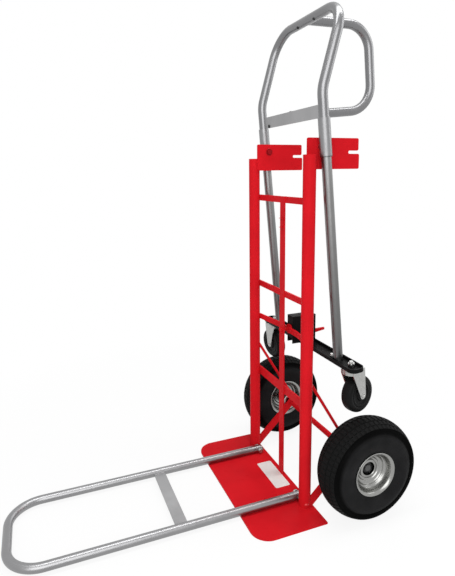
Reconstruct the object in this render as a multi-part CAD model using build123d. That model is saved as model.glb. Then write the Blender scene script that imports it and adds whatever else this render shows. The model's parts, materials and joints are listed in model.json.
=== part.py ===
from build123d import *
import math
import os

# Folding hand truck, in millimetres. The origin is the centre of the toe plate's underside,
# +Z is up, the toe plate reaches forward along -Y and +X is the right side.

# Toe plate
toe_width = 458.0
toe_depth = 191.0
toe_thickness = 5.0
toe_corner_radius = 46.0

# Rails, crossbars and centre strap of the main frame
rail_od = 31.0
rail_wall = 2.0
rail_cap = 2.0
rail_spacing = 304.6
rail_inset = 21.7
rail_top = 903.5
crossbar_depth = 4.5
crossbar_bite = 2.0
crossbar_end_inset = 3.0
crossbar_height = 17.0
bottom_crossbar_height = 25.0
latch_crossbar_height = 15.0
latch_bow_length = 100.0
top_crossbar_drop = 110.0
middle_crossbar_level = 539.5
bottom_crossbar_level = 265.0
weld_bite = 0.8
strap_width = 25.0
strap_thickness = 3.0

# Top brackets, their rear slots and the pivot that the rear frame hangs from
bracket_thickness = 3.0
bracket_rise = 39.5
bracket_drop = 33.5
bracket_setback = 1.7
bracket_reach = 147.1
bracket_corner_radius = 4.0
bracket_lip_step = 2.4
slot_length = 31.4
slot_height = 7.5
slot_rise = 6.25
pivot_rise = 18.5
pivot_setback = 38.7
pivot_bolt_od = 10.0
pivot_head_od = 19.0
pivot_head_height = 6.0
pivot_nut_od = 14.0
pivot_nut_height = 6.0
pivot_spacer_od = 16.0
pivot_spacer_length = 5.35

# Axle and the braces that carry it
axle_od = 16.0
axle_setback = 109.2
strut_width = 22.0
strut_thickness = 5.0
strut_offset = 6.7
strut_foot_level = 4.0
brace_od = 8.0
brace_spacing = 284.0
brace_top_level = 367.0
brace_tail = 8.0

# Main wheels: hollow tyre, two pressed rim halves and an offset hub
wheel_side_gap = 22.8
tyre_od = 260.0
tyre_width = 89.0
tyre_shoulder_drop = 10.0
tyre_shoulder_inset = 8.5
tyre_wall = 9.0
tyre_bead = 12.0
rim_flange_od = 114.0
rim_flange_offset = 36.7
rim_seat_od = 100.0
rim_seat_offset = 33.5
rim_sheet = 2.0
rim_step_od = 84.0
rim_step_offset = 16.0
rim_disc_od = 66.0
rim_disc_offset = 5.0
rim_disc_step = 4.0
hub_od = 49.0
hub_cup_od = 38.0
hub_cup_depth = 10.0
hub_offset = 12.0
axle_clip_od = 26.0
axle_clip_thickness = 3.0
axle_stub = 3.0

# Toe extension: a bent tube that lies on the toe plate and folds up between the rails
extension_od = 22.0
extension_wall = 2.0
extension_reach = 716.3
extension_corner_radius = 80.0
extension_side_gap = 3.4
extension_strap_width = 31.0
extension_strap_thickness = 3.0
extension_strap_reach = 319.0
extension_bolt_od = 8.0
extension_head_od = 15.0
extension_head_height = 6.0
extension_collar_od = 14.0
extension_button_od = 12.0
extension_button_height = 2.0
clip_width = 16.0
clip_thickness = 1.2
clip_lip = 6.0
clip_gap = 0.35

# Rear frame: handle above the pivot, caster legs below it, leaning back at the foot
rear_lean = 5.43
leg_od = 24.0
leg_wall = 2.0
leg_above_pivot = 12.0
leg_joint_gap = 2.0
sleeve_wall = 2.2
sleeve_above_pivot = 65.0
sleeve_below_pivot = 24.0
handle_kink_level = 127.5
handle_kink_radius = 90.0
handle_top_level = 315.2
handle_top_setback = 72.4
handle_corner_radius = 68.0
loop_od = 24.5
loop_setback = 254.0
loop_foot_rise = 4.8
loop_top_drop = 14.6
loop_corner_radius = 68.0
handle_strap_level = 80.2
handle_strap_height = 30.0
handle_strap_thickness = 4.0
handle_bolt_od = 5.0
handle_bolt_head_od = 10.0
handle_bolt_head_height = 3.0
handle_bolt_inset = 19.5
handle_bolt_drop = 10.0
rivet_od = 8.0
rivet_height = 2.5
rivet_spacing = 78.0
rivet_angle = 225.0

# Caster beam and the latch that holds it to the main frame
beam_end = 36.5
beam_depth = 40.0
beam_offset = 2.0
beam_corner_radius = 16.0
beam_height = 10.0
beam_wall = 3.0
beam_bolt_inset = 22.0
beam_bolt_lead = 4.0
beam_bolt_od = 8.0
beam_bolt_head_od = 11.0
beam_bolt_head_height = 6.0
beam_bolt_stub = 5.0
beam_bolt_nut_height = 6.0
latch_box_width = 30.0
latch_box_front = 49.3
latch_box_rear = 22.7
latch_box_rise = 55.3
latch_box_drop = 21.2
latch_box_sheet = 3.0
latch_mouth_height = 14.0
latch_pin_rise = 28.1
latch_pin_od = 8.0
latch_pin_head_od = 14.0
latch_pin_head_height = 3.0
lever_thickness = 6.0
lever_height = 14.0
lever_tip_reach = 60.0
lever_tip_rise = 5.3
lever_tip_height = 6.0
lever_nose_reach = 42.3
lever_nose_rise = 4.0
lever_nose_length = 4.0
lever_travel = 8.0
lever_slot_margin = 3.0
keeper_rise = 18.3
keeper_stem_od = 8.0
keeper_head_od = 15.0
keeper_head_height = 4.0
keeper_flange_od = 26.0
keeper_flange_height = 5.6
keeper_tongue_od = 9.0
keeper_tongue_reach = 18.0
keeper_notch_length = 8.0
keeper_notch_depth = 3.5
keeper_window_margin = 2.5

# Casters
caster_outset = 47.5
right_caster_swivel = 16.0
left_caster_swivel = 97.0
caster_setback = 6.0
caster_trail = 15.0
caster_wheel_od = 94.0
caster_wheel_width = 30.0
caster_wheel_edge = 6.0
caster_hub_step = 1.0
caster_hub_od = 30.0
caster_wheel_gap = 13.8
caster_tyre_gap = 12.0
caster_axle_od = 10.0
caster_rivet_od = 13.0
caster_rivet_height = 1.5
caster_plate_od = 47.0
caster_plate_thickness = 4.0
caster_crown_thickness = 9.0
caster_crown_gap = 0.5
fork_side_gap = 0.5
fork_sheet = 3.0
fork_front = 17.0
fork_rear = 12.0
fork_eye_od = 20.0
kingpin_od = 10.0
kingpin_nut_od = 18.0
kingpin_nut_height = 8.0
kingpin_head_height = 4.0
kingpin_stub = 5.0

# Clearances
running_gap = 0.3
turning_clearance = 0.08
sliding_clearance = 0.05

# Places worked out from the sizes above
toe_rear = toe_depth / 2
rail_x = rail_spacing / 2
rail_y = toe_rear - rail_inset
top_crossbar_level = rail_top - top_crossbar_drop
crossbar_front = rail_y + rail_od / 2 - crossbar_bite
crossbar_end_x = rail_x - crossbar_end_inset
strap_front = crossbar_front - strap_thickness
bracket_top = rail_top + bracket_rise
bracket_bottom = rail_top - bracket_drop
bracket_outer_x = rail_x - rail_od / 2 + weld_bite
slot_level = rail_top + slot_rise
pivot_y = rail_y + pivot_setback
pivot_level = rail_top + pivot_rise
sleeve_bore_od = leg_od + 2 * sliding_clearance
sleeve_od = sleeve_bore_od + 2 * sleeve_wall
sleeve_inner_x = bracket_outer_x + pivot_spacer_length + running_gap
leg_x = sleeve_inner_x + sleeve_od / 2
axle_y = toe_rear + axle_setback
axle_level = tyre_od / 2
strut_outer_x = rail_x + strut_offset + strut_thickness / 2
wheel_x = strut_outer_x + wheel_side_gap + tyre_width / 2
extension_x = rail_x - rail_od / 2 - extension_side_gap - extension_od / 2
extension_y = strap_front - clip_thickness - running_gap - extension_od / 2
extension_z = toe_thickness + running_gap + extension_od / 2
loop_foot_level = handle_strap_level + loop_foot_rise
loop_top_level = handle_top_level - loop_top_drop
handle_bolt_x = handle_bolt_inset - leg_x
handle_bolt_level = handle_strap_level - handle_bolt_drop

# The legs end where the casters just clear the main tyres, and the latch stands on their beam
caster_radius = caster_wheel_od / 2
caster_height = caster_plate_thickness + caster_crown_gap + caster_crown_thickness + caster_wheel_gap
tyre_distance = math.hypot(axle_y - pivot_y, axle_level - pivot_level) - tyre_od / 2
caster_reach = tyre_distance - caster_tyre_gap - caster_radius
caster_axle_drop = math.sqrt(caster_reach**2 - (caster_setback + caster_trail) ** 2)
beam_drop = caster_axle_drop - caster_radius - caster_height
beam_web_top = -beam_drop + beam_wall
beam_bolt_x = leg_x - beam_bolt_inset
caster_x = leg_x + caster_outset
caster_hub_length = caster_wheel_width + 2 * caster_hub_step
fork_inner_width = caster_hub_length + 2 * fork_side_gap
latch_lean = math.radians(rear_lean)
latch_pin_drop = beam_drop - latch_pin_rise
latch_pin_y = pivot_y + latch_pin_drop * math.sin(latch_lean)
latch_pin_level = pivot_level - latch_pin_drop * math.cos(latch_lean)
keeper_level = latch_pin_level + keeper_rise
keeper_flange_rear = latch_pin_y - latch_box_front - running_gap
keeper_flange_front = keeper_flange_rear - keeper_flange_height


def rod_x(diameter, x0, x1, y, z):
    """Round bar along X."""
    return Pos((x0 + x1) / 2, y, z) * Rot(0, 90, 0) * Cylinder(diameter / 2, abs(x1 - x0))


def rod_y(diameter, y0, y1, x, z):
    """Round bar along Y."""
    return Pos(x, (y0 + y1) / 2, z) * Rot(90, 0, 0) * Cylinder(diameter / 2, abs(y1 - y0))


def rod_z(diameter, z0, z1, x, y):
    """Round bar along Z."""
    return Pos(x, y, (z0 + z1) / 2) * Cylinder(diameter / 2, abs(z1 - z0))


def block(x0, x1, y0, y1, z0, z1):
    """Box between two corners."""
    centre = Pos((x0 + x1) / 2, (y0 + y1) / 2, (z0 + z1) / 2)
    return centre * Box(abs(x1 - x0), abs(y1 - y0), abs(z1 - z0))


def bent_rod(points, radii, diameter):
    """Round bar along straight runs joined by tangent arcs."""
    path = FilletPolyline(*points, radius=radii)
    return sweep(Plane(path @ 0, z_dir=path % 0) * Circle(diameter / 2), path=path)


def plate_yz(face, x0, x1):
    """Flat sheet from x0 to x1, its face drawn as (y, z)."""
    return Pos(x0, 0, 0) * extrude(Plane.YZ * face, amount=x1 - x0)


def turned_x(points):
    """Ring turned about the X axis from an outline of (x, radius) points."""
    return revolve(make_face(Polyline(*points, close=True)), axis=Axis.X)


def hang(shape):
    """Move a piece from the rear frame's own axes to where it hangs on the pivot."""
    return Pos(0, pivot_y, pivot_level) * Rot(rear_lean, 0, 0) * shape


def set_latch(shape):
    """Move a piece of the latch, drawn upright about its pin, to where it stands."""
    return Pos(0, latch_pin_y, latch_pin_level) * shape


def mirrored(shape):
    """The left-hand copy of a right-hand piece."""
    return mirror(shape, about=Plane.YZ)


def rail_outline():
    return rod_z(rail_od, toe_thickness, rail_top, rail_x, rail_y)


def both_rails():
    return rail_outline() + mirrored(rail_outline())


# Main frame


def toe_plate():
    outline = Rectangle(toe_width, toe_depth)
    front_corners = outline.vertices().group_by(Axis.Y)[0]
    return extrude(fillet(front_corners, toe_corner_radius), amount=toe_thickness)


def rail():
    bore = rod_z(rail_od - 2 * rail_wall, toe_thickness, rail_top - rail_cap, rail_x, rail_y)
    bolt_hole = rod_x(extension_bolt_od, rail_x - rail_od, rail_x + rail_od, extension_y, extension_z)
    return rail_outline() - bore - bolt_hole


def crossbar(level, height):
    rear = crossbar_front + crossbar_depth
    low = level - height / 2
    bar = block(-crossbar_end_x, crossbar_end_x, crossbar_front, rear, low, low + height)
    return bar - both_rails()


def centre_strap():
    top = top_crossbar_level + crossbar_height / 2
    strap = block(-strap_width / 2, strap_width / 2, strap_front, crossbar_front, toe_thickness, top)
    return strap - keeper_stem()


def extension_clip():
    level = extension_z + extension_reach
    inner = extension_od / 2 + clip_gap
    half = clip_width / 2
    outer = inner + clip_thickness
    channel = block(-half, half, strap_front - clip_lip, strap_front, level - outer, level + outer)
    room = block(
        -half, half, strap_front - clip_lip, strap_front - clip_thickness, level - inner, level + inner
    )
    return channel - room


def keeper_stem():
    return rod_y(keeper_stem_od, strap_front, keeper_flange_front, 0, keeper_level)


def latch_crossbar():
    half = latch_bow_length / 2
    bow_front = keeper_flange_front - crossbar_depth
    front = [
        (-crossbar_end_x, crossbar_front),
        (-half, bow_front),
        (half, bow_front),
        (crossbar_end_x, crossbar_front),
    ]
    rear = [(x, y + crossbar_depth) for x, y in reversed(front)]
    outline = make_face(Polyline(*front, *rear, close=True))
    low = keeper_level - latch_crossbar_height / 2
    bar = Pos(0, 0, low) * extrude(outline, amount=latch_crossbar_height)
    return bar - both_rails() - keeper_stem()


def latch_keeper():
    head = rod_y(keeper_head_od, strap_front - keeper_head_height, strap_front, 0, keeper_level)
    flange = rod_y(keeper_flange_od, keeper_flange_front, keeper_flange_rear, 0, keeper_level)
    tongue_end = keeper_tongue_reach - latch_box_front
    tongue = rod_y(keeper_tongue_od, -latch_box_front - running_gap, tongue_end, 0, keeper_rise)
    half = keeper_tongue_od / 2
    travel = math.radians(lever_travel)
    nose_rise = lever_nose_rise + lever_height / 2
    nose_lead = lever_nose_reach - lever_nose_length / 2
    nose_y = nose_rise * math.sin(travel) - nose_lead * math.cos(travel)
    notch = block(
        -half, half, nose_y - keeper_notch_length / 2, nose_y + keeper_notch_length / 2,
        keeper_rise - half, keeper_rise - half + keeper_notch_depth,
    )
    return head + keeper_stem() + flange + set_latch(tongue - notch)


def rounded_sheet(y0, y1, z0, z1):
    centre = Pos((y0 + y1) / 2, (z0 + z1) / 2)
    return centre * RectangleRounded(y1 - y0, z1 - z0, bracket_corner_radius)


def top_bracket():
    front = rail_y + bracket_setback
    rear = rail_y + bracket_reach
    slot_end = rear - slot_length + slot_height / 2
    sheet = rounded_sheet(front, slot_end, bracket_bottom, bracket_top)
    sheet -= Pos(slot_end, slot_level) * Circle(slot_height / 2)
    sheet += rounded_sheet(front, rear - bracket_lip_step, slot_level + slot_height / 2, bracket_top)
    sheet += rounded_sheet(front, rear, bracket_bottom, slot_level - slot_height / 2)
    inner_x = bracket_outer_x - bracket_thickness
    plate = plate_yz(sheet, inner_x, bracket_outer_x)
    bolt_hole = rod_x(pivot_bolt_od, inner_x, bracket_outer_x, pivot_y, pivot_level)
    return plate - bolt_hole - rail_outline()


def pivot_bolt():
    head_end = bracket_outer_x - bracket_thickness
    nut_start = leg_x - pivot_nut_height / 2
    nut_end = leg_x + pivot_nut_height / 2
    head = rod_x(pivot_head_od, head_end - pivot_head_height, head_end, pivot_y, pivot_level)
    shank = rod_x(pivot_bolt_od, head_end, nut_end, pivot_y, pivot_level)
    nut = rod_x(pivot_nut_od, nut_start, nut_end, pivot_y, pivot_level)
    return head + shank + nut


def pivot_spacer():
    end = bracket_outer_x + pivot_spacer_length
    ring = rod_x(pivot_spacer_od, bracket_outer_x, end, pivot_y, pivot_level)
    return ring - rod_x(pivot_bolt_od, bracket_outer_x, end, pivot_y, pivot_level)


def extension_bolt():
    head_end = extension_x - extension_od / 2 - running_gap
    collar_start = extension_x + extension_od / 2 + running_gap
    button_end = rail_x + rail_od / 2 + extension_button_height
    head_start = head_end - extension_head_height
    head = rod_x(extension_head_od, head_start, head_end, extension_y, extension_z)
    shank = rod_x(extension_bolt_od, head_end, button_end, extension_y, extension_z)
    collar = rod_x(extension_collar_od, collar_start, rail_x, extension_y, extension_z)
    button = rod_x(extension_button_od, rail_x, button_end, extension_y, extension_z)
    return head + shank + (collar - rail_outline()) + (button - rail_outline())


def axle():
    end = wheel_x + hub_offset - hub_cup_depth + running_gap + axle_clip_thickness + axle_stub
    return rod_x(axle_od, -end, end, axle_y, axle_level)


def axle_clip():
    start = wheel_x + hub_offset - hub_cup_depth + running_gap
    end = start + axle_clip_thickness
    return rod_x(axle_clip_od, start, end, axle_y, axle_level) - axle()


def lower_strut():
    foot = Vector(rail_y, strut_foot_level)
    eye = Vector(axle_y, axle_level)
    run = eye - foot
    slope = math.degrees(math.atan2(run.Y, run.X))
    middle = (foot + eye) / 2
    bar = Pos(middle.X, middle.Y) * Rot(0, 0, slope) * SlotCenterToCenter(run.length, strut_width)
    strut = plate_yz(bar, strut_outer_x - strut_thickness, strut_outer_x)
    floor = block(0, rail_spacing, rail_y - strut_width, axle_y, -strut_width, toe_thickness)
    return strut - axle() - rail_outline() - floor


def brace_rod():
    x = brace_spacing / 2
    run_y = axle_y - rail_y
    run_z = axle_level - brace_top_level
    span = math.hypot(run_y, run_z)
    offset = (axle_od + brace_od) / 2 - weld_bite
    slope = math.atan2(run_z, run_y) + math.asin(offset / span)
    length = math.sqrt(span**2 - offset**2) + brace_tail
    end_y = rail_y + length * math.cos(slope)
    end_z = brace_top_level + length * math.sin(slope)
    line = Line((x, rail_y, brace_top_level), (x, end_y, end_z))
    rod = sweep(Plane(line @ 0, z_dir=line % 0) * Circle(brace_od / 2), path=line)
    return rod - rail_outline() - axle()


# Main wheels, drawn about their own centre with the outer side towards +X


def set_wheel(shape):
    return Pos(wheel_x, axle_y, axle_level) * shape


def tyre():
    crown = tyre_od / 2
    flange = (rim_flange_offset, rim_flange_od / 2)
    shoulder = (tyre_width / 2 - tyre_shoulder_inset, crown - tyre_shoulder_drop)
    seat = (rim_seat_offset, rim_seat_od / 2)
    widest = (tyre_width / 2, (shoulder[1] + flange[1]) / 2)
    edges = [
        Line((-seat[0], seat[1]), seat),
        Line(seat, flange),
        ThreePointArc(flange, widest, shoulder),
        ThreePointArc(shoulder, (0, crown), (-shoulder[0], shoulder[1])),
        ThreePointArc((-shoulder[0], shoulder[1]), (-widest[0], widest[1]), (-flange[0], flange[1])),
        Line((-flange[0], flange[1]), (-seat[0], seat[1])),
    ]
    section = make_face(edges)
    neck_half = rim_seat_offset - tyre_bead
    neck = Pos(0, seat[1] + tyre_wall) * Rectangle(2 * neck_half, 4 * tyre_wall)
    return set_wheel(revolve(section - offset(section, -tyre_wall) - neck, axis=Axis.X))


def rim_half():
    back = [
        (rim_flange_offset, rim_flange_od / 2),
        (rim_seat_offset, rim_seat_od / 2),
        (rim_step_offset, rim_seat_od / 2),
        (rim_step_offset, rim_step_od / 2),
        (rim_disc_offset + rim_disc_step, rim_step_od / 2),
        (rim_disc_offset + rim_disc_step, rim_disc_od / 2),
        (rim_disc_offset, rim_disc_od / 2),
        (rim_disc_offset, hub_od / 2 - rim_sheet),
    ]
    front = [(x + rim_sheet, radius - rim_sheet) for x, radius in reversed(back)]
    return turned_x(back + front) - rod_x(hub_od, -tyre_width, tyre_width, 0, 0)


def outer_rim():
    return set_wheel(rim_half())


def inner_rim():
    return set_wheel(mirrored(rim_half()))


def hub():
    inner_end = strut_outer_x + running_gap - wheel_x
    barrel = rod_x(hub_od, inner_end, hub_offset, 0, 0)
    cup = rod_x(hub_cup_od, hub_offset - hub_cup_depth, hub_offset, 0, 0)
    bore = rod_x(axle_od + 2 * turning_clearance, inner_end, hub_offset, 0, 0)
    return set_wheel(barrel - cup - bore)


# Toe extension


def extension_path(diameter):
    front = extension_y - extension_reach
    rear = extension_y + extension_od
    corners = [
        (-extension_x, rear, extension_z),
        (-extension_x, front, extension_z),
        (extension_x, front, extension_z),
        (extension_x, rear, extension_z),
    ]
    return bent_rod(corners, [extension_corner_radius] * 2, diameter)


def extension_hoop():
    tube = extension_path(extension_od) - extension_path(extension_od - 2 * extension_wall)
    wide = 2 * extension_x + extension_od
    square_end = block(
        -wide, wide, extension_y, extension_y + 2 * extension_od, 0, extension_z + extension_od
    )
    round_end = rod_x(extension_od, -wide, wide, extension_y, extension_z)
    bolt_hole = rod_x(
        extension_bolt_od + 2 * turning_clearance, -wide, wide, extension_y, extension_z
    )
    return tube - (square_end - round_end) - bolt_hole


def extension_strap():
    middle = extension_y - extension_strap_reach
    half = extension_strap_width / 2
    low = extension_z - extension_strap_thickness / 2
    strap = block(
        -extension_x, extension_x, middle - half, middle + half, low, low + extension_strap_thickness
    )
    return strap - extension_path(extension_od)


# Rear frame, drawn about the pivot before it is hung


def leg():
    top = leg_above_pivot
    tube = rod_z(leg_od, beam_web_top, top, leg_x, 0)
    bore = rod_z(leg_od - 2 * leg_wall, beam_web_top, top, leg_x, 0)
    return hang(tube - bore - pivot_hole())


def pivot_hole():
    return rod_x(pivot_bolt_od + 2 * turning_clearance, leg_x - sleeve_od, leg_x, 0, 0)


def sleeve():
    shell = rod_z(sleeve_od, -sleeve_below_pivot, sleeve_above_pivot, leg_x, 0)
    bore = rod_z(sleeve_bore_od, -sleeve_below_pivot, sleeve_above_pivot, leg_x, 0)
    return hang(shell - bore - pivot_hole())


def handle_path(diameter):
    foot = leg_above_pivot + leg_joint_gap
    corners = [
        (-leg_x, 0, foot),
        (-leg_x, 0, handle_kink_level),
        (-leg_x, handle_top_setback, handle_top_level),
        (leg_x, handle_top_setback, handle_top_level),
        (leg_x, 0, handle_kink_level),
        (leg_x, 0, foot),
    ]
    radii = [handle_kink_radius, handle_corner_radius, handle_corner_radius, handle_kink_radius]
    return bent_rod(corners, radii, diameter)


def handle_hoop():
    return hang(handle_path(leg_od) - handle_path(leg_od - 2 * leg_wall))


def loop_path(diameter):
    corners = [
        (0, handle_strap_thickness / 2, loop_foot_level),
        (0, loop_setback, loop_foot_level),
        (0, loop_setback, loop_top_level),
        (0, handle_top_setback, handle_top_level),
    ]
    return bent_rod(corners, [loop_corner_radius] * 2, diameter)


def handle_loop():
    tube = loop_path(loop_od) - loop_path(loop_od - 2 * leg_wall)
    return hang(tube - handle_path(leg_od))


def handle_strap():
    half = handle_strap_thickness / 2
    low = handle_strap_level - handle_strap_height / 2
    strap = block(-leg_x, leg_x, -half, half, low, low + handle_strap_height)
    bolt_hole = rod_y(handle_bolt_od, -half, half, handle_bolt_x, handle_bolt_level)
    return hang(strap - handle_path(leg_od) - bolt_hole)


def handle_strap_bolt():
    half = handle_strap_thickness / 2
    head_end = half + handle_bolt_head_height
    shank = rod_y(handle_bolt_od, -half, half, handle_bolt_x, handle_bolt_level)
    heads = [
        rod_y(handle_bolt_head_od, side * half, side * head_end, handle_bolt_x, handle_bolt_level)
        for side in (-1, 1)
    ]
    return shank + heads


def handle_rivet():
    x = rivet_spacing / 2
    stem = rod_y(rivet_od, 0, leg_od / 2 + rivet_height, 0, 0)
    bar_end = Pos(x, handle_top_setback, handle_top_level) * Rot(rivet_angle, 0, 0)
    return bar_end * stem - handle_path(leg_od)


def handle_fasteners():
    rivet = handle_rivet()
    return hang(handle_strap_bolt() + rivet + mirrored(rivet))


def caster_beam():
    trough = offset(beam_outline(), -beam_wall)
    tray = Pos(0, beam_offset, -beam_drop) * extrude(beam_outline(), amount=beam_height)
    room = Pos(0, beam_offset, beam_web_top) * extrude(trough, amount=beam_height)
    holes = []
    for side in (-1, 1):
        holes.append(rod_z(kingpin_od, -beam_drop, beam_web_top, side * caster_x, caster_setback))
        holes.append(rod_z(beam_bolt_od, -beam_drop, beam_web_top, side * beam_bolt_x, -beam_bolt_lead))
    return tray - room - holes


def beam_bolt():
    y = -beam_bolt_lead
    head_top = beam_web_top + beam_bolt_head_height
    head = rod_z(beam_bolt_head_od, beam_web_top, head_top, beam_bolt_x, y)
    shank = rod_z(beam_bolt_od, -beam_drop, head_top + beam_bolt_stub, beam_bolt_x, y)
    nut = rod_z(beam_bolt_head_od, -beam_drop - beam_bolt_nut_height, -beam_drop, beam_bolt_x, y)
    return hang(head + shank + nut)


def beam_outline():
    return RectangleRounded(2 * (caster_x + beam_end), beam_depth, beam_corner_radius)


def latch_bracket():
    half = latch_box_width / 2
    sheet = latch_box_sheet
    box = block(-half, half, -latch_box_front, latch_box_rear, -latch_box_drop, latch_box_rise)
    beam = Pos(0, beam_offset, -beam_drop) * extrude(beam_outline(), amount=beam_height)
    foot_front = beam_offset - beam_depth / 2 + beam_wall
    foot_rear = beam_offset + beam_depth / 2 - beam_wall
    foot = block(-half, half, foot_front, foot_rear, beam_web_top, beam_height - beam_drop)
    shell = set_latch(box) - hang(beam) + hang(foot)
    room = block(
        sheet - half, half - sheet, sheet - latch_box_front, latch_box_rear - sheet,
        -latch_pin_rise - beam_height, latch_box_rise - sheet,
    )
    window = keeper_tongue_od / 2 + keeper_window_margin
    front_window = block(
        -window, window, -latch_box_front, sheet - latch_box_front,
        keeper_rise - window, keeper_rise + window,
    )
    mouth = block(
        sheet - half, half - sheet, -latch_box_front, sheet - latch_box_front,
        -latch_box_drop, latch_mouth_height - latch_box_drop,
    )
    gap = lever_thickness / 2 + lever_slot_margin
    gap_half = lever_height / 2 + 2 * lever_slot_margin
    gap_level = lever_tip_rise / 2
    rear_slot = block(
        -gap, gap, latch_box_rear - sheet, latch_box_rear, gap_level - gap_half, gap_level + gap_half
    )
    pin_hole = rod_x(latch_pin_od, -half, half, 0, 0)
    return shell - set_latch(room + front_window + mouth + rear_slot + pin_hole)


# Latch


def latch_pin():
    half = latch_box_width / 2
    end = half + latch_pin_head_height
    shank = rod_x(latch_pin_od, -half, half, 0, 0)
    heads = [rod_x(latch_pin_head_od, side * half, side * end, 0, 0) for side in (-1, 1)]
    return set_latch(shank + heads)


def latch_lever():
    half = lever_thickness / 2
    bar_half = lever_height / 2
    tip_half = lever_tip_height / 2
    outline = [
        (-lever_nose_reach, lever_nose_rise + bar_half),
        (lever_nose_length - lever_nose_reach, lever_nose_rise + bar_half),
        (lever_nose_length - lever_nose_reach, lever_nose_rise),
        (0, bar_half),
        (lever_tip_reach, lever_tip_rise + tip_half),
        (lever_tip_reach, lever_tip_rise - tip_half),
        (0, -bar_half),
        (-lever_nose_reach, lever_nose_rise - bar_half),
    ]
    bar = plate_yz(make_face(Polyline(*outline, close=True)), -half, half)
    bore_od = latch_pin_od + 2 * turning_clearance
    return set_latch(bar - rod_x(bore_od, -half, half, 0, 0))


# Casters, drawn about the kingpin's axis with the wheel trailing towards +Y


def set_caster(shape, x, swivel):
    return hang(Pos(x, caster_setback, 0) * Rot(0, 0, swivel) * shape)


def crown_top():
    return -beam_drop - caster_plate_thickness - caster_crown_gap


def caster_plate():
    low = -beam_drop - caster_plate_thickness
    disc = rod_z(caster_plate_od, low, -beam_drop, 0, 0)
    return disc - rod_z(kingpin_od, low, -beam_drop, 0, 0)


def kingpin():
    head_top = crown_top() - caster_crown_thickness - running_gap
    nut_top = beam_web_top + kingpin_nut_height
    shank = rod_z(kingpin_od, head_top, nut_top + kingpin_stub, 0, 0)
    nut = rod_z(kingpin_nut_od, beam_web_top, nut_top, 0, 0)
    head = rod_z(kingpin_nut_od, head_top - kingpin_head_height, head_top, 0, 0)
    return shank + nut + head


def caster_fork():
    top = crown_top()
    low = top - caster_crown_thickness
    half = fork_inner_width / 2 + fork_sheet
    leg_rear = caster_trail + fork_rear
    crown = rod_z(caster_plate_od, low, top, 0, 0) + block(-half, half, 0, leg_rear, low, top)
    eye = Pos(caster_trail, -caster_axle_drop) * Circle(fork_eye_od / 2)
    flank = make_face(
        Polyline(
            (-fork_front, top),
            (leg_rear, top),
            (leg_rear, low),
            (caster_trail + fork_eye_od / 2, -caster_axle_drop),
            (caster_trail - fork_eye_od / 2, -caster_axle_drop),
            (-fork_front, low),
            close=True,
        )
    )
    legs = [plate_yz(flank + eye, side * half, side * (half - fork_sheet)) for side in (-1, 1)]
    pin_bore = rod_z(kingpin_od + 2 * turning_clearance, low, top, 0, 0)
    axle_hole = rod_x(caster_axle_od, -half, half, caster_trail, -caster_axle_drop)
    return crown + legs - pin_bore - axle_hole


def caster_axle():
    half = fork_inner_width / 2 + fork_sheet
    end = half + caster_rivet_height
    shank = rod_x(caster_axle_od, -half, half, caster_trail, -caster_axle_drop)
    heads = [
        rod_x(caster_rivet_od, side * half, side * end, caster_trail, -caster_axle_drop)
        for side in (-1, 1)
    ]
    return shank + heads


def caster_wheel():
    tread = Rot(0, 90, 0) * Cylinder(caster_wheel_od / 2, caster_wheel_width)
    tread = fillet(tread.edges().filter_by(GeomType.CIRCLE), caster_wheel_edge)
    hub_half = caster_hub_length / 2
    wheel = tread + rod_x(caster_hub_od, -hub_half, hub_half, 0, 0)
    bore = rod_x(caster_axle_od + 2 * turning_clearance, -hub_half, hub_half, 0, 0)
    return Pos(0, caster_trail, -caster_axle_drop) * (wheel - bore)


centre_pieces = {
    "toe_plate": toe_plate(),
    "top_crossbar": crossbar(top_crossbar_level, crossbar_height),
    "middle_crossbar": crossbar(middle_crossbar_level, crossbar_height),
    "bottom_crossbar": crossbar(bottom_crossbar_level, bottom_crossbar_height),
    "latch_crossbar": latch_crossbar(),
    "centre_strap": centre_strap(),
    "extension_clip": extension_clip(),
    "latch_keeper": latch_keeper(),
    "axle": axle(),
    "extension_hoop": extension_hoop(),
    "extension_strap": extension_strap(),
    "handle_hoop": handle_hoop(),
    "handle_loop": handle_loop(),
    "handle_strap": handle_strap(),
    "handle_fasteners": handle_fasteners(),
    "caster_beam": hang(caster_beam()),
    "latch_bracket": latch_bracket(),
    "latch_pin": latch_pin(),
    "latch_lever": latch_lever(),
}

paired_pieces = {
    "rail": rail(),
    "top_bracket": top_bracket(),
    "pivot_bolt": pivot_bolt(),
    "pivot_spacer": pivot_spacer(),
    "extension_bolt": extension_bolt(),
    "lower_strut": lower_strut(),
    "brace_rod": brace_rod(),
    "axle_clip": axle_clip(),
    "tyre": tyre(),
    "outer_rim": outer_rim(),
    "inner_rim": inner_rim(),
    "hub": hub(),
    "leg": leg(),
    "sleeve": sleeve(),
    "beam_bolt": beam_bolt(),
}

caster_pieces = {
    "caster_plate": caster_plate(),
    "kingpin": kingpin(),
    "caster_fork": caster_fork(),
    "caster_axle": caster_axle(),
    "caster_wheel": caster_wheel(),
}

pieces = dict(centre_pieces)
for name, shape in paired_pieces.items():
    pieces["right_" + name] = shape
    pieces["left_" + name] = mirrored(shape)
for name, shape in caster_pieces.items():
    pieces["right_" + name] = set_caster(shape, caster_x, right_caster_swivel)
    pieces["left_" + name] = set_caster(shape, -caster_x, left_caster_swivel)

os.makedirs("parts", exist_ok=True)
for name, shape in pieces.items():
    export_step(shape, f"parts/{name}.step")
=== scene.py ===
import json
import math

import bmesh
import bpy
from mathutils import Matrix, Vector


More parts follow.
